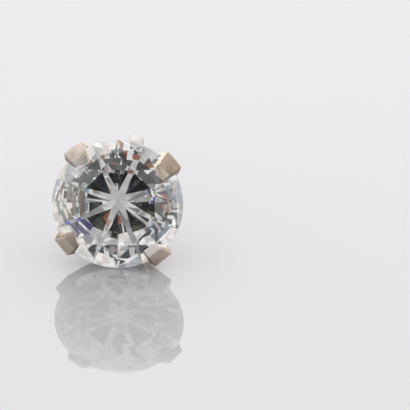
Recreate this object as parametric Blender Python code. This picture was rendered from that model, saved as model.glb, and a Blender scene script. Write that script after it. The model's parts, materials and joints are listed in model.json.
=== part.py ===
"""A stud earring: a round brilliant cut stone held by four square claws, with a straight ear post.

Sizes are written in millimetres and the model is in metres. The stud lies as it does when put
down unworn: on the edge of the stone and on the post's end, with a corner of the lower right
claw just above the floor.
"""

import math

import bmesh
import bpy
from mathutils import Matrix, Vector

MM = 0.001

# Stone
STONE_DIAMETER = 6.0
TABLE_WIDTH = 3.5
CROWN_ANGLE = math.radians(31.0)
PAVILION_ANGLE = math.radians(41.5)
GIRDLE_HEIGHT = 0.14
STAR_SHARE = 0.58
LOWER_HALF_SHARE = 0.77
CULET_WIDTH = 0.06
SIDES_PER_HALF_FACET = 3

# Claws, turned this far from their upright places
CLAW_TURN = math.radians(6.0)
CLAW_OUTER_WIDTH = 0.94
CLAW_WAIST_WIDTH = 1.3
CLAW_RIDGE_WIDTH = 0.68
CLAW_TIP_WIDTH = 0.62
CLAW_TIP_SPREAD = 0.16
CLAW_OVERHANG = 0.38
CLAW_SHOULDER_DROP = 0.08
CLAW_RIDGE_INSET = 0.2
CLAW_RIDGE_HEIGHT = 0.47
CLAW_REACH = 0.6
CLAW_TIP_HEIGHT = 0.57
CLAW_FOOT_WIDTH = 0.72
CLAW_FOOT_THICKNESS = 0.7

# Basket under the stone
BASE_DIAMETER = 3.0
BASE_THICKNESS = 0.6
BASE_CHAMFER = 0.12
RAIL_DEPTH = 1.75
RAIL_HEIGHT = 0.46
RAIL_THICKNESS = 0.5
RAIL_INSET = 0.18
RAIL_CHAMFER = 0.08

# Ear post
POST_DIAMETER = 0.8
POST_LENGTH = 10.0
POST_END_CHAMFER = 0.14
NUT_GROOVE_DEPTH = 0.07
NUT_GROOVE_WIDTH = 0.5
NUT_GROOVE_FROM_END = 1.6

# Clearances
SEAT_CLEARANCE = 0.05
CULET_CLEARANCE = 0.2

ROUND_SIDES = 48
BURIED = 0.2

stone_radius = STONE_DIAMETER / 2
post_radius = POST_DIAMETER / 2
culet_depth = GIRDLE_HEIGHT / 2 + stone_radius * math.tan(PAVILION_ANGLE)
base_top = -culet_depth - CULET_CLEARANCE
base_bottom = base_top - BASE_THICKNESS
post_end = base_bottom - POST_LENGTH


def ring_point(radius, angle, height):
    return Vector((radius * math.cos(angle), radius * math.sin(angle), height))


def rim_point(plane, radius, angle):
    """The point where a plane, given by three of its points, meets the stone's rim at the angle."""
    first, second, third = plane
    normal = (second - first).cross(third - first)
    point = ring_point(radius, angle, 0)
    point.z = first.z - (normal.x * (point.x - first.x) + normal.y * (point.y - first.y)) / normal.z
    return point


def brilliant(grow):
    """Faces of the round brilliant, each a list of points, with every side moved outwards by grow."""
    radius = stone_radius + grow
    table_apothem = TABLE_WIDTH / 2
    half_step = math.pi / 8
    corner = 1 / math.cos(half_step)
    top = GIRDLE_HEIGHT / 2 + grow * math.tan(math.pi / 4 - CROWN_ANGLE / 2)
    bottom = -GIRDLE_HEIGHT / 2 - grow * math.tan(math.pi / 4 - PAVILION_ANGLE / 2)
    star_radius = table_apothem + STAR_SHARE * (radius - table_apothem)
    half_radius = (1 - LOWER_HALF_SHARE) * radius
    culet_radius = CULET_WIDTH / 2
    table_height = top + (radius - table_apothem * corner) * math.tan(CROWN_ANGLE)
    star_height = top + (radius - star_radius / corner) * math.tan(CROWN_ANGLE)
    half_height = bottom - (radius - half_radius / corner) * math.tan(PAVILION_ANGLE)
    culet_height = bottom - (radius - culet_radius) * math.tan(PAVILION_ANGLE)

    faces = []
    table = []
    culet = []
    rim = []
    for index in range(8):
        main = (2 * index + 1) * half_step
        after = main + half_step
        table.append(ring_point(table_apothem * corner, main, table_height))
        culet.append(ring_point(culet_radius * corner, after, culet_height))
        star = ring_point(star_radius, after, star_height)
        star_before = ring_point(star_radius, main - half_step, star_height)
        next_table = ring_point(table_apothem * corner, main + 2 * half_step, table_height)
        kite_foot = ring_point(radius, main, top)
        faces.append([table[-1], star, next_table])
        faces.append([table[-1], star_before, kite_foot, star])

        low = ring_point(half_radius, after, half_height)
        low_before = ring_point(half_radius, main - half_step, half_height)
        main_foot = ring_point(radius, main, bottom)
        culet_before = ring_point(culet_radius * corner, main - half_step, culet_height)
        faces.append([low, main_foot, low_before, culet_before, culet[-1]])

        for start in (main, after):
            end = start + half_step
            angles = [start + half_step * step / SIDES_PER_HALF_FACET for step in range(SIDES_PER_HALF_FACET + 1)]
            crown_plane = (star, ring_point(radius, start, top), ring_point(radius, end, top))
            pavilion_plane = (low, ring_point(radius, start, bottom), ring_point(radius, end, bottom))
            crown_points = [rim_point(crown_plane, radius, angle) for angle in angles]
            pavilion_points = [rim_point(pavilion_plane, radius, angle) for angle in angles]
            rim.extend(zip(crown_points[:-1], pavilion_points[:-1]))
            faces.append([star] + crown_points)
            faces.append([low] + pavilion_points[::-1])
    faces.append(table)
    faces.append(culet[::-1])
    for index, (upper, lower) in enumerate(rim):
        next_upper, next_lower = rim[(index + 1) % len(rim)]
        faces.append([upper, lower, next_lower, next_upper])
    return faces


def mesh_object(name, shape):
    """An object with the shape's mesh, brought from millimetres to metres."""
    bmesh.ops.remove_doubles(shape, verts=shape.verts, dist=0.0001)
    bmesh.ops.recalc_face_normals(shape, faces=shape.faces)
    mesh = bpy.data.meshes.new(name)
    shape.to_mesh(mesh)
    shape.free()
    mesh.transform(Matrix.Scale(MM, 4))
    thing = bpy.data.objects.new(name, mesh)
    bpy.context.scene.collection.objects.link(thing)
    return thing


def from_faces(name, faces):
    shape = bmesh.new()
    for points in faces:
        shape.faces.new([shape.verts.new(point) for point in points])
    return mesh_object(name, shape)


def from_hull(name, points):
    shape = bmesh.new()
    for point in points:
        shape.verts.new(point)
    hull = bmesh.ops.convex_hull(shape, input=shape.verts)
    unused = [part for part in hull["geom_interior"] + hull["geom_unused"] if isinstance(part, bmesh.types.BMVert)]
    bmesh.ops.delete(shape, geom=unused, context="VERTS")
    bmesh.ops.dissolve_limit(shape, angle_limit=math.radians(0.2), verts=shape.verts, edges=shape.edges)
    return mesh_object(name, shape)


def turned_solid(name, profile, closed):
    """A round solid about the stone's axis. The profile lists radius and height pairs.
    A closed profile makes a ring, and one that isn't closed is capped at both ends."""
    shape = bmesh.new()
    rings = []
    for radius, height in profile:
        angles = [2 * math.pi * index / ROUND_SIDES for index in range(ROUND_SIDES)]
        rings.append([shape.verts.new(ring_point(radius, angle, height)) for angle in angles])
    pairs = list(zip(rings, rings[1:]))
    if closed:
        pairs.append((rings[-1], rings[0]))
    for one, other in pairs:
        for index in range(ROUND_SIDES):
            after = (index + 1) % ROUND_SIDES
            shape.faces.new([one[index], one[after], other[after], other[index]])
    if not closed:
        shape.faces.new(rings[0])
        shape.faces.new(rings[-1])
    return mesh_object(name, shape)


def combine(target, other, operation):
    """Joins the other object to the target, or cuts it out, and removes it."""
    step = target.modifiers.new("combine", "BOOLEAN")
    step.solver = "EXACT"
    step.operation = operation
    step.object = other
    depsgraph = bpy.context.evaluated_depsgraph_get()
    result = bpy.data.meshes.new_from_object(target.evaluated_get(depsgraph))
    old = target.data
    target.modifiers.clear()
    target.data = result
    bpy.data.meshes.remove(old)
    spent = other.data
    bpy.data.objects.remove(other)
    bpy.data.meshes.remove(spent)


def claw(angle):
    """One claw: a leg tapering down to the base, and a hipped block folded over the crown."""
    foot_outer = math.sqrt((BASE_DIAMETER / 2) ** 2 - (CLAW_FOOT_WIDTH / 2) ** 2)
    foot_inner = foot_outer - CLAW_FOOT_THICKNESS
    tip = stone_radius - CLAW_REACH
    tip_foot = CLAW_TIP_HEIGHT - CLAW_TIP_SPREAD
    # The distance from the stone's axis, the height and the width of each edge
    edges = (
        (foot_outer, base_bottom, CLAW_FOOT_WIDTH),
        (foot_inner, base_bottom, CLAW_FOOT_WIDTH),
        (stone_radius + CLAW_OVERHANG, -CLAW_SHOULDER_DROP, CLAW_OUTER_WIDTH),
        (stone_radius, -CLAW_SHOULDER_DROP, CLAW_WAIST_WIDTH),
        (stone_radius - CLAW_RIDGE_INSET, CLAW_RIDGE_HEIGHT, CLAW_RIDGE_WIDTH),
        (tip, CLAW_TIP_HEIGHT, CLAW_TIP_WIDTH),
        (tip, tip_foot, CLAW_TIP_WIDTH + 2 * CLAW_TIP_SPREAD),
    )
    turn = Matrix.Rotation(angle, 4, "Z")
    corners = [Vector((radius, side * width / 2, height)) for radius, height, width in edges for side in (-1, 1)]
    return from_hull("claw", [turn @ corner for corner in corners])


def base_profile():
    radius = BASE_DIAMETER / 2
    return (
        (radius - BASE_CHAMFER, base_top),
        (radius, base_top - BASE_CHAMFER),
        (radius, base_bottom + BASE_CHAMFER),
        (radius - BASE_CHAMFER, base_bottom),
    )


def rail_profile():
    outer = stone_radius + CLAW_OVERHANG - RAIL_INSET
    lean = (outer - BASE_DIAMETER / 2) / (CLAW_SHOULDER_DROP + base_bottom)
    outer = outer + lean * (RAIL_DEPTH - CLAW_SHOULDER_DROP)
    inner = outer - RAIL_THICKNESS
    top = -RAIL_DEPTH + RAIL_HEIGHT / 2
    bottom = -RAIL_DEPTH - RAIL_HEIGHT / 2
    return (
        (inner + RAIL_CHAMFER, top),
        (outer - RAIL_CHAMFER, top),
        (outer, top - RAIL_CHAMFER),
        (outer, bottom + RAIL_CHAMFER),
        (outer - RAIL_CHAMFER, bottom),
        (inner + RAIL_CHAMFER, bottom),
        (inner, bottom + RAIL_CHAMFER),
        (inner, top - RAIL_CHAMFER),
    )


def post_profile():
    groove_radius = post_radius - NUT_GROOVE_DEPTH
    groove_low = post_end + NUT_GROOVE_FROM_END
    groove_high = groove_low + NUT_GROOVE_WIDTH
    return (
        (post_radius, base_bottom + BURIED),
        (post_radius, groove_high),
        (groove_radius, groove_high - NUT_GROOVE_DEPTH),
        (groove_radius, groove_low + NUT_GROOVE_DEPTH),
        (post_radius, groove_low),
        (post_radius, post_end + POST_END_CHAMFER),
        (post_radius - POST_END_CHAMFER, post_end),
    )


def material(name, colour, roughness, metallic):
    result = bpy.data.materials.new(name)
    result.use_nodes = True
    shader = result.node_tree.nodes["Principled BSDF"]
    shader.inputs["Base Color"].default_value = (*colour, 1.0)
    shader.inputs["Roughness"].default_value = roughness
    shader.inputs["Metallic"].default_value = metallic
    return result


def face_lift():
    """How far the face leans back when the stone's edge and the post's end are on the floor."""
    drop = stone_radius - post_radius
    run = -post_end - POST_END_CHAMFER - GIRDLE_HEIGHT / 2
    return math.atan2(drop, run)


def build():
    for thing in list(bpy.data.objects):
        bpy.data.objects.remove(thing)

    stone = from_faces("stone", brilliant(0.0))
    stone.data.materials.append(material("diamond", (0.86, 0.87, 0.88), 0.02, 0.0))

    setting = turned_solid("claw_setting", base_profile(), closed=False)
    combine(setting, turned_solid("rail", rail_profile(), closed=True), "UNION")
    for index in range(4):
        combine(setting, claw(math.radians(45 + 90 * index) - CLAW_TURN), "UNION")
    combine(setting, turned_solid("post", post_profile(), closed=False), "UNION")
    combine(setting, from_faces("seat", brilliant(SEAT_CLEARANCE)), "DIFFERENCE")
    setting.data.materials.clear()
    setting.data.materials.append(material("white_gold", (0.74, 0.68, 0.6), 0.28, 1.0))
    setting.data.shade_smooth()
    setting.data.set_sharp_from_angle(angle=math.radians(25))

    stud = bpy.data.objects.new("stud", None)
    bpy.context.scene.collection.objects.link(stud)
    stone.parent = stud
    setting.parent = stud
    stud.matrix_world = Matrix.Rotation(math.pi / 2 - face_lift(), 4, "X")
    bpy.context.view_layer.update()
    corners = [thing.matrix_world @ vertex.co for thing in (stone, setting) for vertex in thing.data.vertices]
    low = [min(corner[axis] for corner in corners) for axis in range(3)]
    high = [max(corner[axis] for corner in corners) for axis in range(3)]
    stud.location = (-(low[0] + high[0]) / 2, -(low[1] + high[1]) / 2, -low[2])
    bpy.context.view_layer.update()


build()
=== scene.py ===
"""The looks of the stud earring: its finished stone and setting, the floor, the light and the camera.

Lengths in the shape code are millimetres in the stud's own frame: z along the post towards the
stone's face, y up and x to the right as one looks at the face.
"""

import json
import math

import bmesh
import bpy
from mathutils import Matrix, Vector


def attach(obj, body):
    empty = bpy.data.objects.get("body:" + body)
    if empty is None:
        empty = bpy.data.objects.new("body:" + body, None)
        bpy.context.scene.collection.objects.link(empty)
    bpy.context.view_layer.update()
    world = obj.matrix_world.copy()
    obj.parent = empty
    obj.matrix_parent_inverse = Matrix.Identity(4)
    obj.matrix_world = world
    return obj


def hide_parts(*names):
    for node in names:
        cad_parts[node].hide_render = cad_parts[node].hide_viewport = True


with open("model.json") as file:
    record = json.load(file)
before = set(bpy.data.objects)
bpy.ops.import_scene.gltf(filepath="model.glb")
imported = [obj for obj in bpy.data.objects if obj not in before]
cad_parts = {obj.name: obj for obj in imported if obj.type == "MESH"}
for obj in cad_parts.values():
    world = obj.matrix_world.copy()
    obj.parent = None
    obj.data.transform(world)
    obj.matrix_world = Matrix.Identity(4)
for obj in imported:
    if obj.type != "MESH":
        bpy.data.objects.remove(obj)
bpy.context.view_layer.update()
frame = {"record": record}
MM = 0.001

# The stone
RADIUS = 3.0
TABLE_APOTHEM = 1.75
CROWN_ANGLE = math.radians(31.0)
PAVILION_ANGLE = math.radians(41.5)
GIRDLE = 0.14
STAR_SHARE = 0.58
LOWER_SHARE = 0.84
CULET_APOTHEM = 0.03
RIM_FACES = 64
SEAT_GAP = 0.05

# The base, the rail and the post, with heights from the middle of the stone's rim
CULET_GAP = 0.2
BASE_TOP = -GIRDLE / 2 - RADIUS * math.tan(PAVILION_ANGLE) - CULET_GAP
BASE_THICKNESS = 0.6
BASE_BOTTOM = BASE_TOP - BASE_THICKNESS
BASE_RADIUS = 1.5
BASE_CHAMFER = 0.12

RAIL_MIDDLE = -1.75
RAIL_HEIGHT = 0.46
RAIL_DEPTH = 0.5
RAIL_INSET = 0.18

POST_RADIUS = 0.4
POST_LENGTH = 10.0
POST_END = BASE_BOTTOM - POST_LENGTH
POST_ROOT = 0.2
GROOVE_FROM_END = 1.6
GROOVE_WIDTH = 0.5
GROOVE_DEPTH = 0.07
POST_END_CHAMFER = 0.14

# The claws, and how far they are all turned about the post, in degrees
CLAW_TURN = 6.0
CLAW_FOOT_WIDTH = 0.72
CLAW_FOOT_DEPTH = 0.7
CLAW_OUTER_WIDTH = 0.94
CLAW_WAIST = 1.3
CLAW_RIDGE_WIDTH = 0.68
CLAW_OVERHANG = 0.38
CLAW_DROP = 0.08
CLAW_RIDGE_INSET = 0.2
CLAW_RIDGE_HEIGHT = 0.47
CLAW_TIP_HEIGHT = 0.57
CLAW_TIP_SPREAD = 0.16
# The groove worn along a claw's ridge
WEAR_WIDTH = 0.6
WEAR_DEPTH = 0.07
WEAR_OVER = 0.04

# Roundings of the base, the rail and the post
BASE_ROUND = 0.08
RAIL_ROUND = 0.13
POST_ROUND = 0.05

# The stone's refractive index
IOR = 2.42
# Faces that meet at more than this many degrees meet in a sharp edge
SHARP_ANGLE = 35
# Half the floor's width, in metres
FLOOR_REACH = 1.5

# Where the stud lies
mounts = {mount["name"]: mount for mount in frame["record"]["mounts"]}
axis_z = -Vector(mounts["post_end"]["axis"]).normalized()
axis_x = Vector((1.0, 0.0, 0.0))
axis_y = axis_z.cross(axis_x)
centre = Vector(mounts["post_end"]["pos_m"]) - axis_z * (POST_END * MM)
placing = Matrix.Translation(centre) @ Matrix((axis_x, axis_y, axis_z)).transposed().to_4x4()

# Painted reflections for the pieces of the stone's back, standing in for what the surroundings would show
# there: each one's name, darkest colour, lightest colour and how much of it is painted glow, an emission that
# lights the piece like a lamp
PAINTED_REFLECTION_SHADES = (
    ("dark", (0.02, 0.026, 0.022), (0.09, 0.105, 0.1), 0.0),
    ("olive", (0.033, 0.032, 0.024), (0.13, 0.125, 0.095), 0.0),
    ("night", (0.02, 0.022, 0.032), (0.085, 0.09, 0.115), 0.0),
    ("spoke", (0.74, 0.74, 0.75), (0.9, 0.9, 0.9), 0.24),
    ("smoky", (0.2, 0.16, 0.13), (0.34, 0.29, 0.25), 0.6),
    ("brown", (0.25, 0.09, 0.045), (0.36, 0.15, 0.09), 0.8),
    ("blue", (0.1, 0.12, 0.48), (0.17, 0.2, 0.62), 0.8),
    ("slate", (0.06, 0.065, 0.16), (0.12, 0.13, 0.25), 0.7),
    ("steel", (0.18, 0.25, 0.3), (0.3, 0.38, 0.43), 0.6),
    ("grey", (0.34, 0.34, 0.35), (0.5, 0.5, 0.51), 0.45),
    ("pale", (0.58, 0.58, 0.58), (0.74, 0.74, 0.75), 0.55),
    ("cool", (0.48, 0.51, 0.56), (0.66, 0.69, 0.74), 0.55),
    ("cream", (0.86, 0.82, 0.73), (1.05, 1.0, 0.92), 0.6),
    ("white", (0.9, 0.89, 0.88), (1.1, 1.08, 1.06), 0.65),
)

# The outer part of the back facets goes round in these painted reflections, from the right and anticlockwise
OUTER = ("pale", "white", "cool", "pale", "grey", "white", "cream", "pale", "white", "cool", "pale", "white",
         "white", "pale", "cream", "white", "cool", "pale", "white", "grey", "cool", "pale", "white", "cream")

# Where the painted pale rays end and the outer painted reflections of the back facets begin, as shares of the
# radius
RAY_END = 0.5
HALF_START = 0.6
SECOND_START = 0.62
PAST_RIM = 1.05

# Pieces of painted reflection on the stone's back facets: the facet's direction, from and to how far from the
# axis as a share of the radius, how far the cuts turn from square, the shade, and where the piece ends to
# either side of that direction, if not at the facet's edges
PIECES = (
    (11.25, 0.56, 0.66, 20, "steel"),
    (33.75, 0.60, 0.72, -12, "smoky"),
    (33.75, 0.15, 0.53, 16, "night"),
    (56.25, 0.15, 0.51, -14, "night"),
    (78.75, 0.15, 0.46, 6, "dark"),
    (78.75, 0.46, 0.60, 0, "dark", 0.06, 0.2),
    (78.75, 0.50, 0.66, -10, "brown", -0.2, -0.04),
    (101.25, 0.30, 0.48, -6, "dark"),
    (101.25, 0.48, 0.60, 0, "dark", -0.2, -0.05),
    (123.75, 0.15, 0.51, 14, "night"),
    (146.25, 0.15, 0.50, -16, "night"),
    (168.75, 0.24, 0.46, 14, "dark"),
    (168.75, 0.51, 0.61, 4, "smoky"),
    (157.5, 0.56, 0.68, 12, "grey"),
    (168.75, 0.72, 0.80, -14, "smoky"),
    (191.25, 0.64, 0.74, 16, "grey"),
    (191.25, 0.24, 0.44, -10, "dark"),
    (202.5, 0.22, 0.50, 30, "grey"),
    (191.25, 0.50, 0.58, -10, "smoky"),
    (213.75, 0.15, 0.52, 6, "dark"),
    (213.75, 0.52, 0.60, 12, "slate"),
    (202.5, 0.58, 0.70, 18, "blue"),
    (236.25, 0.15, 0.49, 10, "olive"),
    (236.25, 0.21, 0.33, -20, "brown"),
    (258.75, 0.15, 0.45, 5, "olive"),
    (258.75, 0.45, 0.54, -4, "olive", 0.0, 0.3),
    (281.25, 0.32, 0.47, 4, "dark"),
    (281.25, 0.20, 0.33, 8, "brown"),
    (292.5, 0.24, 0.50, -25, "grey"),
    (303.75, 0.15, 0.50, -12, "olive"),
    (326.25, 0.15, 0.54, 5, "olive"),
    (348.75, 0.15, 0.60, 0, "olive"),
    (67.5, 0.50, 0.66, 15, "brown"),
    (348.75, 0.56, 0.62, 10, "brown", 0.06, 0.3),
    (337.5, 0.56, 0.68, -15, "grey"),
    (326.25, 0.58, 0.70, -15, "steel"),
    (11.25, 0.20, 0.50, 0, "spoke", 0.03, 0.3),
    (33.75, 0.24, 0.50, -10, "spoke", -0.3, -0.06),
    (56.25, 0.24, 0.56, 14, "spoke", 0.05, 0.3),
    (78.75, 0.26, 0.42, 0, "spoke", -0.3, -0.07),
    (101.25, 0.24, 0.52, 10, "spoke", 0.05, 0.3),
    (123.75, 0.24, 0.46, -8, "spoke", -0.3, -0.06),
    (168.75, 0.20, 0.48, 0, "spoke", 0.02, 0.3),
    (236.25, 0.34, 0.60, 8, "spoke", 0.06, 0.3),
    (258.75, 0.34, 0.56, -8, "spoke", -0.3, -0.07),
    (281.25, 0.20, 0.60, 0, "spoke", -0.012, 0.012),
    (326.25, 0.17, 0.56, 6, "spoke", -0.03, 0.015),
)


# Mesh helpers
def ring(radius, degrees, height):
    turn = math.radians(degrees)
    return Vector((radius * math.cos(turn), radius * math.sin(turn), height))


def to_object(name, shape, merge=0.0002):
    bmesh.ops.remove_doubles(shape, verts=shape.verts, dist=merge)
    bmesh.ops.recalc_face_normals(shape, faces=shape.faces)
    mesh = bpy.data.meshes.new(name)
    shape.to_mesh(mesh)
    shape.free()
    thing = bpy.data.objects.new(name, mesh)
    bpy.context.scene.collection.objects.link(thing)
    return thing


def combine(target, other, operation):
    step = target.modifiers.new("combine", "BOOLEAN")
    step.solver = "EXACT"
    step.operation = operation
    step.object = other
    graph = bpy.context.evaluated_depsgraph_get()
    result = bpy.data.meshes.new_from_object(target.evaluated_get(graph))
    target.modifiers.clear()
    target.data = result
    bpy.data.objects.remove(other)


def hull(points):
    shape = bmesh.new()
    for point in points:
        shape.verts.new(point)
    found = bmesh.ops.convex_hull(shape, input=shape.verts)
    loose = [part for part in found["geom_interior"] + found["geom_unused"]
             if isinstance(part, bmesh.types.BMVert)]
    bmesh.ops.delete(shape, geom=list(set(loose)), context="VERTS")
    bmesh.ops.dissolve_limit(shape, angle_limit=math.radians(0.5), verts=shape.verts, edges=shape.edges)
    return shape


def turned(name, profile, closed, sides=96):
    shape = bmesh.new()
    rings = []
    for radius, height in profile:
        rings.append([shape.verts.new(ring(radius, 360 * k / sides, height)) for k in range(sides)])
    pairs = list(zip(rings, rings[1:]))
    if closed:
        pairs.append((rings[-1], rings[0]))
    for one, other in pairs:
        for k in range(sides):
            after = (k + 1) % sides
            shape.faces.new([one[k], one[after], other[after], other[k]])
    if not closed:
        shape.faces.new(rings[0])
        shape.faces.new(rings[-1])
    return to_object(name, shape)


def rounded(profile, radius, closed, steps=4):
    """The profile with every corner rounded to the radius."""
    result = []
    count = len(profile)
    for k, (r, h) in enumerate(profile):
        if not closed and k in (0, count - 1):
            result.append((r, h))
            continue
        here = Vector((r, h))
        before = Vector(profile[k - 1])
        after = Vector(profile[(k + 1) % count])
        back = before - here
        on = after - here
        cut = min(radius, 0.45 * back.length, 0.45 * on.length)
        start = here + back.normalized() * cut
        end = here + on.normalized() * cut
        for j in range(steps + 1):
            t = j / steps
            point = start * (1 - t) ** 2 + here * (2 * t * (1 - t)) + end * t ** 2
            result.append((point.x, point.y))
    return result


# Stone
def stone_planes(grow=0.0):
    """Outward planes (normal, distance, kind, direction in degrees) of the round brilliant."""
    crown = math.tan(CROWN_ANGLE)
    pavilion = math.tan(PAVILION_ANGLE)
    corner = 1 / math.cos(math.pi / 8)
    top = GIRDLE / 2
    table_height = top + (RADIUS - TABLE_APOTHEM * corner) * crown
    star_radius = TABLE_APOTHEM + STAR_SHARE * (RADIUS - TABLE_APOTHEM)
    star_height = top + (RADIUS - star_radius / corner) * crown
    half_radius = (1 - LOWER_SHARE) * RADIUS
    half_height = -top - (RADIUS - half_radius / corner) * pavilion
    planes = [(Vector((0, 0, 1)), table_height, "facet", 0)]
    planes.append((Vector((0, 0, -1)), top + (RADIUS - CULET_APOTHEM) * pavilion, "facet", 0))

    def through(a, b, c, kind, degrees):
        normal = (b - a).cross(c - a).normalized()
        distance = normal.dot(a)
        if distance < 0:
            normal, distance = -normal, -distance
        planes.append((normal, distance, kind, degrees % 360))

    for k in range(8):
        main = 22.5 + 45 * k
        after = main + 22.5
        table = ring(TABLE_APOTHEM * corner, main, table_height)
        next_table = ring(TABLE_APOTHEM * corner, main + 45, table_height)
        star = ring(star_radius, after, star_height)
        through(table, next_table, star, "facet", after)
        for angle, foot in ((CROWN_ANGLE, top), (PAVILION_ANGLE, -top)):
            lean = 1 if foot > 0 else -1
            flat = ring(math.sin(angle), main, lean * math.cos(angle))
            kind = "facet" if foot > 0 else "back"
            planes.append((flat, flat.dot(ring(RADIUS, main, foot)), kind, main % 360))
        low = ring(half_radius, after, half_height)
        for side in (-22.5, 22.5):
            for tip, foot, kind in ((star, top, "facet"), (low, -top, "back")):
                through(tip, ring(RADIUS, after, foot), ring(RADIUS, after + side, foot), kind,
                        after + side / 2)
    for k in range(RIM_FACES):
        planes.append((ring(1, 360 * k / RIM_FACES, 0), RADIUS, "rim", 0))
    return [(normal, distance + grow, kind, degrees) for normal, distance, kind, degrees in planes]


def cut_body(planes):
    """The convex body inside the planes, one flat face for each, as a bmesh. Rim faces take material 1 and
    the layer holds the direction of a back facet."""
    dual = bmesh.new()
    for normal, distance, _, _ in planes:
        dual.verts.new(normal / distance)
    order = {vertex: index for index, vertex in enumerate(dual.verts)}
    dual.normal_update()
    bmesh.ops.convex_hull(dual, input=dual.verts)
    around = {index: [] for index in range(len(planes))}
    for face in dual.faces:
        if len(face.verts) != 3 or any(vertex not in order for vertex in face.verts):
            continue
        solver = Matrix([vertex.co for vertex in face.verts])
        if abs(solver.determinant()) < 1e-12:
            continue
        corner = solver.inverted() @ Vector((1, 1, 1))
        for vertex in face.verts:
            around[order[vertex]].append(corner)
    dual.free()
    shape = bmesh.new()
    facing = shape.faces.layers.float.new("facing")
    known = {}
    for index, (normal, distance, kind, degrees) in enumerate(planes):
        corners = around[index]
        if len(corners) < 3:
            continue
        middle = sum(corners, Vector()) / len(corners)
        right = normal.orthogonal().normalized()
        up = normal.cross(right)
        corners.sort(key=lambda point: math.atan2((point - middle).dot(up), (point - middle).dot(right)))
        face = []
        for point in corners:
            key = tuple(round(value / 0.002) for value in point)
            if key not in known:
                known[key] = shape.verts.new(point)
            if known[key] not in face:
                face.append(known[key])
        if len(face) < 3:
            continue
        made = shape.faces.new(face)
        made.material_index = 1 if kind == "rim" else 0
        made[facing] = degrees if kind == "back" else -1
    return shape


def paint_back_reflections(shape):
    """Cuts the pieces into the back facets and gives each the material of its painted reflection."""
    facing = shape.faces.layers.float["facing"]
    names = [row[0] for row in PAINTED_REFLECTION_SHADES]
    directions = [11.25 * step for step in range(32) if step % 4 != 0]
    rows = []
    # Each back facet's outer part takes two painted reflections from OUTER, and each main facet a painted
    # pale ray
    for step, degrees in enumerate(directions):
        main = degrees % 22.5 == 0
        start = RAY_END if main else HALF_START
        # Two cuts to each facet, at a radius and a slant that change from facet to facet
        rows.append((degrees, start + 0.04 * (step % 3), PAST_RIM, 17 * (step * 3 % 5 - 2), OUTER[step]))
        rows.append((degrees, SECOND_START + 0.07 * (step % 4), PAST_RIM, 19 * (step % 5 - 2),
                     OUTER[(step * 5 + 2) % len(OUTER)]))
        if main:
            rows.append((degrees, 0.0, RAY_END, 0, "spoke"))
    for degrees, start, end, skew, shade, *sides in rows + list(PIECES):
        across = ring(1, degrees + skew, 0)
        along = ring(1, degrees + 90, 0)
        left, right = sides or (-1, 1)
        for toward, share in ((across, start), (across, end), (along, left), (along, right)):
            faces = [face for face in shape.faces if abs(face[facing] - degrees) < 0.01]
            edges = {edge for face in faces for edge in face.edges}
            verts = {vertex for face in faces for vertex in face.verts}
            bmesh.ops.bisect_plane(shape, geom=list(verts) + list(edges) + faces, dist=0.0001,
                                   plane_co=toward * share * RADIUS, plane_no=toward)
        for face in shape.faces:
            if abs(face[facing] - degrees) > 0.01:
                continue
            middle = face.calc_center_median() / RADIUS
            if start < middle.dot(across) < end and left < middle.dot(along) < right:
                face.material_index = 2 + names.index(shade)
    return shape


# Setting
def claw(angle, tip_width, reach, bevel, lit_and_shaded_tones, groove):
    """A claw: a leg tapering to the base and a hipped block folded over the crown, with worn edges, its faces
    painted lighter or darker by the way they face.
    """
    foot_outer = math.sqrt(BASE_RADIUS ** 2 - (CLAW_FOOT_WIDTH / 2) ** 2)
    tip = RADIUS - reach
    edges = (
        (foot_outer, BASE_BOTTOM, CLAW_FOOT_WIDTH),
        (foot_outer - CLAW_FOOT_DEPTH, BASE_BOTTOM, CLAW_FOOT_WIDTH),
        (RADIUS + CLAW_OVERHANG, -CLAW_DROP, CLAW_OUTER_WIDTH),
        (RADIUS, -CLAW_DROP, CLAW_WAIST),
        (RADIUS - CLAW_RIDGE_INSET, CLAW_RIDGE_HEIGHT, CLAW_RIDGE_WIDTH),
        (tip, CLAW_TIP_HEIGHT, tip_width),
        (tip, CLAW_TIP_HEIGHT - CLAW_TIP_SPREAD, tip_width + 2 * CLAW_TIP_SPREAD),
    )
    shape = hull([Vector((r, side * width / 2, h)) for r, h, width in edges for side in (-1, 1)])
    bmesh.ops.bevel(shape, geom=list(shape.edges), offset=bevel, segments=3, profile=0.5, affect="EDGES",
                    clamp_overlap=True)
    bmesh.ops.recalc_face_normals(shape, faces=shape.faces)
    # Each face takes the tone of the way it faces: painted lighter or darker copies of the gold for the outer
    # face, the tip and the flanks
    outer = Vector((CLAW_RIDGE_HEIGHT + CLAW_DROP, 0, CLAW_OVERHANG + CLAW_RIDGE_INSET)).normalized()
    inner = -Vector((CLAW_RIDGE_HEIGHT - CLAW_TIP_HEIGHT, 0, tip - RADIUS + CLAW_RIDGE_INSET)).normalized()
    ways = (outer, inner, Vector((0, -1, 0.2)).normalized(), Vector((0, 1, 0.2)).normalized())
    for face in shape.faces:
        near = max(range(4), key=lambda index: face.normal.dot(ways[index]))
        face.material_index = lit_and_shaded_tones[near]
    block = to_object("claw", shape, 0.001)
    if groove:
        over = (outer + inner).normalized()
        along = Vector((over.z, 0, -over.x))
        ridge = Vector((RADIUS - CLAW_RIDGE_INSET, 0, CLAW_RIDGE_HEIGHT))
        cut = [ridge + along * a + over * o + Vector((0, w, 0))
               for w in (-WEAR_WIDTH, WEAR_WIDTH)
               for a, o in ((-groove, WEAR_OVER), (groove, WEAR_OVER), (0, -WEAR_DEPTH))]
        combine(block, to_object("groove", hull(cut)), "DIFFERENCE")
    block.data.transform(Matrix.Rotation(math.radians(angle - CLAW_TURN), 4, "Z"))
    return block


def base_profile():
    inner = BASE_RADIUS - BASE_CHAMFER
    corners = ((inner, BASE_TOP), (BASE_RADIUS, BASE_TOP - BASE_CHAMFER),
               (BASE_RADIUS, BASE_BOTTOM + BASE_CHAMFER), (inner, BASE_BOTTOM))
    return rounded(corners, BASE_ROUND, False)


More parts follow.
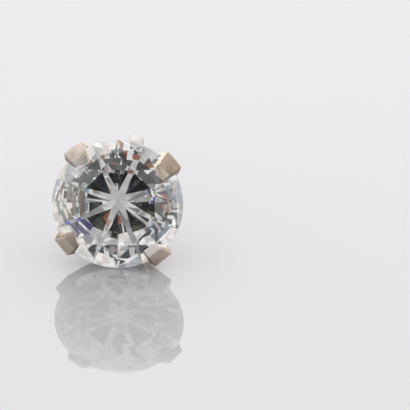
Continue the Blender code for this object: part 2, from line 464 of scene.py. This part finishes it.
def rail_profile():
    outer = RADIUS + CLAW_OVERHANG - RAIL_INSET
    lean = (outer - BASE_RADIUS) / (CLAW_DROP + BASE_BOTTOM)
    outer -= lean * (RAIL_MIDDLE + CLAW_DROP)
    inner = outer - RAIL_DEPTH
    top = RAIL_MIDDLE + RAIL_HEIGHT / 2
    low = RAIL_MIDDLE - RAIL_HEIGHT / 2
    return rounded(((inner, top), (outer, top), (outer, low), (inner, low)), RAIL_ROUND, True)


def post_profile():
    low = POST_END + GROOVE_FROM_END
    high = low + GROOVE_WIDTH
    waist = POST_RADIUS - GROOVE_DEPTH
    corners = ((POST_RADIUS, BASE_BOTTOM + POST_ROOT), (POST_RADIUS, high), (waist, high - GROOVE_DEPTH),
               (waist, low + GROOVE_DEPTH), (POST_RADIUS, low),
               (POST_RADIUS, POST_END + POST_END_CHAMFER), (POST_RADIUS - POST_END_CHAMFER, POST_END))
    return rounded(corners, POST_ROUND, False)


# The claws from the upper right one anticlockwise. Tones: the painted light or shade for the outer face, the
# tip face, then the flanks clockwise and anticlockwise of them. Groove: half the width of the wear along the
# ridge.
CLAWS = (
    dict(angle=45, tip_width=0.66, reach=0.6, bevel=0.045, lit_and_shaded_tones=(2, 3, 1, 3), groove=0),
    dict(angle=135, tip_width=0.6, reach=0.64, bevel=0.08, lit_and_shaded_tones=(4, 5, 1, 2), groove=0),
    dict(angle=225, tip_width=0.62, reach=0.62, bevel=0.04, lit_and_shaded_tones=(3, 1, 2, 1), groove=0.03),
    dict(angle=315, tip_width=0.62, reach=0.62, bevel=0.04, lit_and_shaded_tones=(8, 7, 3, 3), groove=0.03),
)


# Materials

# Noise scales, per metre: streaks in the painted reflections of the stone's pieces, mottling and scratches of
# the gold
STREAK_SCALE = 2200
MOTTLE_SCALE = 1300
SCRATCH_SCALE = 3000
# Each set of fine scratches: how it is turned and how it is stretched
SCRATCHES = ((0.5, (4, 4, 0.25)), (-0.9, (0.25, 4, 4)), (2.1, (4, 0.3, 4)))
# How far the darkening of grime and painted shade reaches from a corner and the brightening of wear and
# painted highlight from an edge, and how deep the scratches are, in mm
GRIME_AND_SHADE_REACH = 0.3
EDGE_WEAR_AND_HIGHLIGHT_REACH = 0.07
SCRATCH_DEPTH = 0.02


def nodes_of(material):
    material.use_nodes = True
    tree = material.node_tree
    return tree, tree.nodes["Principled BSDF"]


def add(tree, kind, **values):
    node = tree.nodes.new(kind)
    for name, value in values.items():
        setattr(node, name, value)
    return node


def link(tree, start, end):
    tree.links.new(start, end)


def ramp_of(tree, source, start, first, end, last):
    ramp = add(tree, "ShaderNodeValToRGB")
    ramp.color_ramp.elements[0].position = start
    ramp.color_ramp.elements[0].color = (*first, 1)
    ramp.color_ramp.elements[1].position = end
    ramp.color_ramp.elements[1].color = (*last, 1)
    link(tree, source, ramp.inputs["Fac"])
    return ramp.outputs["Color"]


def stone_material(name, roughness=0.0):
    material = bpy.data.materials.new(name)
    tree, shader = nodes_of(material)
    shader.inputs["Base Color"].default_value = (0.995, 0.998, 0.992, 1)
    shader.inputs["Transmission Weight"].default_value = 1.0
    shader.inputs["IOR"].default_value = IOR
    shader.inputs["Roughness"].default_value = roughness
    return material


def painted_reflection_material(name, dark, light, painted_glow_share):
    """A piece of the stone's back: clear from outside, and from inside a painted reflection, glass tinted
    with the shade's colours and partly a painted glow where the shade has one.
    """
    material = stone_material("diamond_painted_reflection_" + name)
    tree = material.node_tree
    place = add(tree, "ShaderNodeTexCoord")
    streaks = add(tree, "ShaderNodeTexNoise")
    streaks.inputs["Scale"].default_value = STREAK_SCALE
    streaks.inputs["Detail"].default_value = 2
    link(tree, place.outputs["Object"], streaks.inputs["Vector"])
    colour = ramp_of(tree, streaks.outputs["Fac"], 0.35, dark, 0.7, light)
    inner = add(tree, "ShaderNodeBsdfGlass")
    inner.inputs["IOR"].default_value = IOR
    inner.inputs["Roughness"].default_value = 0.0
    link(tree, colour, inner.inputs["Color"])
    painted_light = inner.outputs["BSDF"]
    # Part of the painted reflection is an emission: a painted glow
    if painted_glow_share:
        glow = add(tree, "ShaderNodeEmission")
        link(tree, colour, glow.inputs["Color"])
        share = add(tree, "ShaderNodeMixShader")
        share.inputs["Fac"].default_value = painted_glow_share
        link(tree, painted_light, share.inputs[1])
        link(tree, glow.outputs["Emission"], share.inputs[2])
        painted_light = share.outputs["Shader"]
    side = add(tree, "ShaderNodeNewGeometry")
    mix = add(tree, "ShaderNodeMixShader")
    link(tree, side.outputs["Backfacing"], mix.inputs["Fac"])
    link(tree, tree.nodes["Principled BSDF"].outputs["BSDF"], mix.inputs[1])
    link(tree, painted_light, mix.inputs[2])
    link(tree, mix.outputs["Shader"], tree.nodes["Material Output"].inputs["Surface"])
    return material


def blend(tree, share, first, second):
    mix = add(tree, "ShaderNodeMix", data_type="RGBA")
    link(tree, share, mix.inputs["Factor"])
    for socket, value in (("A", first), ("B", second)):
        if isinstance(value, tuple):
            mix.inputs[socket].default_value = (*value, 1)
        else:
            link(tree, value, mix.inputs[socket])
    return mix.outputs["Result"]


def gold_material(name, deep, light, edge, roughness):
    """Worn white gold: mottled, scratched, brighter along its edges from wear and a painted highlight, and
    darker in its corners from grime and painted shade.
    """
    material = bpy.data.materials.new(name)
    tree, shader = nodes_of(material)
    shader.inputs["Metallic"].default_value = 1.0
    place = add(tree, "ShaderNodeTexCoord")
    tone = add(tree, "ShaderNodeTexNoise")
    tone.inputs["Scale"].default_value = MOTTLE_SCALE
    tone.inputs["Detail"].default_value = 6
    tone.inputs["Roughness"].default_value = 0.62
    link(tree, place.outputs["Object"], tone.inputs["Vector"])
    colour = ramp_of(tree, tone.outputs["Fac"], 0.32, deep, 0.68, light)

    # Darker in the corners, from ambient occlusion: partly grime and partly painted shade
    corner = add(tree, "ShaderNodeAmbientOcclusion", samples=8)
    corner.inputs["Distance"].default_value = GRIME_AND_SHADE_REACH * MM
    grime_and_shade = add(tree, "ShaderNodeMapRange")
    grime_and_shade.inputs["From Min"].default_value = 0.35
    grime_and_shade.inputs["From Max"].default_value = 0.75
    link(tree, corner.outputs["AO"], grime_and_shade.inputs["Value"])
    colour = blend(tree, grime_and_shade.outputs["Result"], tuple(0.35 * value for value in deep), colour)

    # Brighter along the edges: partly wear and partly a painted highlight
    softened = add(tree, "ShaderNodeBevel", samples=8)
    softened.inputs["Radius"].default_value = EDGE_WEAR_AND_HIGHLIGHT_REACH * MM
    facing = add(tree, "ShaderNodeNewGeometry")
    same = add(tree, "ShaderNodeVectorMath", operation="DOT_PRODUCT")
    link(tree, softened.outputs["Normal"], same.inputs[0])
    link(tree, facing.outputs["True Normal"], same.inputs[1])
    worn_and_highlit_edge = add(tree, "ShaderNodeMapRange")
    worn_and_highlit_edge.inputs["From Min"].default_value = 0.995
    worn_and_highlit_edge.inputs["From Max"].default_value = 0.93
    link(tree, same.outputs["Value"], worn_and_highlit_edge.inputs["Value"])
    colour = blend(tree, worn_and_highlit_edge.outputs["Result"], colour, edge)
    link(tree, colour, shader.inputs["Base Color"])

    height = None
    for turn, stretch in SCRATCHES:
        brush = add(tree, "ShaderNodeMapping")
        brush.inputs["Rotation"].default_value = (turn, turn * 0.7, turn * 0.4)
        brush.inputs["Scale"].default_value = stretch
        link(tree, place.outputs["Object"], brush.inputs["Vector"])
        marks = add(tree, "ShaderNodeTexNoise")
        marks.inputs["Scale"].default_value = SCRATCH_SCALE
        marks.inputs["Detail"].default_value = 3
        link(tree, brush.outputs["Vector"], marks.inputs["Vector"])
        if height is None:
            height = marks.outputs["Fac"]
            continue
        both = add(tree, "ShaderNodeMath", operation="ADD")
        link(tree, height, both.inputs[0])
        link(tree, marks.outputs["Fac"], both.inputs[1])
        height = both.outputs[0]
    gloss = add(tree, "ShaderNodeMapRange")
    gloss.inputs["From Min"].default_value = 1.1
    gloss.inputs["From Max"].default_value = 1.9
    gloss.inputs["To Min"].default_value = roughness - 0.1
    gloss.inputs["To Max"].default_value = roughness + 0.1
    link(tree, height, gloss.inputs["Value"])
    link(tree, gloss.outputs["Result"], shader.inputs["Roughness"])
    bump = add(tree, "ShaderNodeBump")
    bump.inputs["Strength"].default_value = 0.35
    bump.inputs["Distance"].default_value = SCRATCH_DEPTH * MM
    link(tree, height, bump.inputs["Height"])
    link(tree, bump.outputs["Normal"], shader.inputs["Normal"])
    return material


def floor_material():
    material = bpy.data.materials.new("floor")
    tree, shader = nodes_of(material)
    shader.inputs["Base Color"].default_value = (0.455, 0.453, 0.472, 1)
    shader.inputs["Roughness"].default_value = 0.004
    shader.inputs["IOR"].default_value = 1.75
    return material


# Each tone of the gold: its name, deep colour, light colour, edge colour and roughness. The basket and the
# post have their own; the others are lit and shaded copies painted onto the claws' faces, and every edge
# colour is partly a painted highlight
GOLDS = (
    ("white_gold_basket", (0.5, 0.43, 0.34), (0.78, 0.71, 0.62), (0.95, 0.9, 0.84), 0.3),
    ("white_gold_painted_shade", (0.27, 0.22, 0.17), (0.47, 0.4, 0.32), (0.68, 0.6, 0.52), 0.32),
    ("white_gold_painted_deep_shade", (0.2, 0.155, 0.11), (0.38, 0.315, 0.25), (0.6, 0.53, 0.45), 0.3),
    ("white_gold_painted_tan_light", (0.44, 0.37, 0.29), (0.68, 0.59, 0.49), (0.9, 0.84, 0.77), 0.3),
    ("white_gold_painted_rosy_light", (0.36, 0.3, 0.25), (0.58, 0.52, 0.475), (0.8, 0.75, 0.71), 0.34),
    ("white_gold_painted_pale_light", (0.38, 0.34, 0.31), (0.57, 0.535, 0.51), (0.95, 0.92, 0.9), 0.4),
    ("white_gold_post", (0.435, 0.42, 0.405), (0.54, 0.53, 0.51), (0.62, 0.61, 0.59), 0.5),
    ("white_gold_painted_highlight", (0.92, 0.85, 0.8), (1.0, 0.97, 0.95), (1.0, 0.98, 0.97), 0.75),
    ("white_gold_painted_buff_light", (0.52, 0.43, 0.34), (0.82, 0.71, 0.59), (0.98, 0.92, 0.86), 0.32),
)


# Light

# Each soft patch of the surroundings: azimuth from the front (to the right), elevation, half-angle where it
# is full, half-angle where it ends, colour
PATCHES = (
    (5.0, 24.0, 14.0, 24.0, (0.55, 0.55, 0.55)),
    (-6.0, -2.0, 7.0, 13.0, (0.03, 0.03, 0.03)),
    (5.0, 24.0, 2.0, 5.0, (0.05, 0.05, 0.05)),
    (22.0, 54.0, 9.0, 20.0, (0.35, 0.35, 0.35)),
    (-20.0, 54.0, 9.0, 20.0, (0.35, 0.35, 0.35)),
)


def direction(azimuth, elevation):
    turn = math.radians(azimuth)
    rise = math.radians(elevation)
    return Vector((math.sin(turn) * math.cos(rise), -math.cos(turn) * math.cos(rise), math.sin(rise)))


def make_world():
    world = bpy.data.worlds.new("studio")
    bpy.context.scene.world = world
    world.use_nodes = True
    tree = world.node_tree
    tree.nodes.clear()
    place = add(tree, "ShaderNodeTexCoord")
    # Base light: brighter towards the back
    back = add(tree, "ShaderNodeVectorMath", operation="DOT_PRODUCT")
    link(tree, place.outputs["Generated"], back.inputs[0])
    back.inputs[1].default_value = direction(180, 20)
    ramp = add(tree, "ShaderNodeMapRange")
    ramp.inputs["From Min"].default_value = -0.2
    ramp.inputs["From Max"].default_value = 0.9
    link(tree, back.outputs["Value"], ramp.inputs["Value"])
    base = add(tree, "ShaderNodeMix", data_type="RGBA")
    base.inputs["A"].default_value = (0.95, 0.94, 0.93, 1)
    base.inputs["B"].default_value = (1.95, 1.94, 1.93, 1)
    link(tree, ramp.outputs["Result"], base.inputs["Factor"])
    colour = base.outputs["Result"]
    for azimuth, elevation, inner, outer, shade in PATCHES:
        dot = add(tree, "ShaderNodeVectorMath", operation="DOT_PRODUCT")
        link(tree, place.outputs["Generated"], dot.inputs[0])
        dot.inputs[1].default_value = direction(azimuth, elevation)
        soft = add(tree, "ShaderNodeMapRange", interpolation_type="SMOOTHSTEP")
        soft.inputs["From Min"].default_value = math.cos(math.radians(outer))
        soft.inputs["From Max"].default_value = math.cos(math.radians(inner))
        link(tree, dot.outputs["Value"], soft.inputs["Value"])
        mix = add(tree, "ShaderNodeMix", data_type="RGBA")
        link(tree, soft.outputs["Result"], mix.inputs["Factor"])
        link(tree, colour, mix.inputs["A"])
        mix.inputs["B"].default_value = (*shade, 1)
        colour = mix.outputs["Result"]
    # The camera itself sees a plain pale backdrop
    path = add(tree, "ShaderNodeLightPath")
    plain = add(tree, "ShaderNodeMix", data_type="RGBA")
    plain.inputs["B"].default_value = (0.8, 0.8, 0.81, 1)
    link(tree, path.outputs["Is Camera Ray"], plain.inputs["Factor"])
    link(tree, colour, plain.inputs["A"])
    background = add(tree, "ShaderNodeBackground")
    link(tree, plain.outputs["Result"], background.inputs["Color"])
    output = add(tree, "ShaderNodeOutputWorld")
    link(tree, background.outputs["Background"], output.inputs["Surface"])


# Camera: the picture's width in pixels, its pixels to the millimetre, the camera's distance and sensor in
# millimetres, the way from the stone to it, the stone's middle in the picture and the camera's lean in
# degrees
IMAGE = 410
SCALE = 21.87
DISTANCE = 200.0
SENSOR = 36
TOWARDS_CAMERA = (0.0637, -0.910, 0.409)
STONE_AT = (117.6, 204.1)
LEAN = -0.7


def make_camera():
    """The camera as the photo's: the picture is IMAGE pixels wide, SCALE pixels to the millimetre, with the
    stone's middle STONE_AT pixels from its left and top edges."""
    towards = Vector(TOWARDS_CAMERA).normalized()
    focal = SCALE * DISTANCE
    right = Vector((0, 0, 1)).cross(towards).normalized()
    up = towards.cross(right)
    lean = math.radians(LEAN)
    side = right * math.cos(lean) + up * math.sin(lean)
    over = up * math.cos(lean) - right * math.sin(lean)
    basis = Matrix((side, over, towards)).transposed()
    seen = Vector((STONE_AT[0] - IMAGE / 2, IMAGE / 2 - STONE_AT[1], -focal)).normalized()
    swing = Vector((0, 0, -1)).rotation_difference(seen).to_matrix()
    turn = basis @ swing.inverted()
    data = bpy.data.cameras.new("camera")
    data.sensor_width = SENSOR
    data.lens = focal / IMAGE * SENSOR
    data.clip_start = 0.01
    data.clip_end = 10
    camera = bpy.data.objects.new("camera", data)
    bpy.context.scene.collection.objects.link(camera)
    camera.matrix_world = Matrix.Translation(centre + towards * (DISTANCE * MM)) @ turn.to_4x4()
    bpy.context.scene.camera = camera


# Building it all
def place(thing, material_list, node, slot):
    thing.data.transform(placing @ Matrix.Scale(MM, 4))
    kinds = [face.material_index for face in thing.data.polygons]
    thing.data.materials.clear()
    for material in material_list:
        thing.data.materials.append(material)
    thing.data.polygons.foreach_set("material_index", kinds)
    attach(thing, "root")
    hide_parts(node)


def gilded(thing, golds, tone=None):
    """Gives the thing all the tones of gold, the painted lit and shaded copies among them, and its faces the
    tone named, or else their own.
    """
    kinds = [face.material_index if tone is None else tone for face in thing.data.polygons]
    for material in golds:
        thing.data.materials.append(material)
    thing.data.polygons.foreach_set("material_index", kinds)
    return thing


def main():
    make_camera()
    stone = to_object("cut_stone", paint_back_reflections(cut_body(stone_planes())))
    looks = [stone_material("diamond"), stone_material("girdle", 0.25)]
    looks += [painted_reflection_material(*shade) for shade in PAINTED_REFLECTION_SHADES]
    place(stone, looks, "stone", "diamond")

    golds = [gold_material(*row) for row in GOLDS]
    setting = gilded(turned("basket_and_post", base_profile(), False), golds, 0)
    combine(setting, gilded(turned("rail", rail_profile(), True), golds, 0), "UNION")
    for sizes in CLAWS:
        combine(setting, gilded(claw(**sizes), golds), "UNION")
    combine(setting, gilded(turned("post", post_profile(), False), golds, 6), "UNION")
    seat = to_object("seat", cut_body(stone_planes(SEAT_GAP)))
    combine(setting, seat, "DIFFERENCE")
    setting.data.shade_smooth()
    setting.data.set_sharp_from_angle(angle=math.radians(SHARP_ANGLE))
    place(setting, golds, "claw_setting", "white_gold")

    floor_mesh = bmesh.new()
    bmesh.ops.create_grid(floor_mesh, x_segments=1, y_segments=1, size=FLOOR_REACH)
    floor = to_object("floor", floor_mesh)
    floor.data.materials.append(floor_material())

    make_world()
    scene = bpy.context.scene
    scene.view_settings.view_transform = "Standard"
    scene.cycles.max_bounces = 32
    scene.cycles.transmission_bounces = 24
    scene.cycles.glossy_bounces = 12
    scene.cycles.caustics_reflective = True
    scene.cycles.caustics_refractive = True
    scene.cycles.use_denoising = True
    scene.cycles.denoising_input_passes = "RGB_ALBEDO"


main()
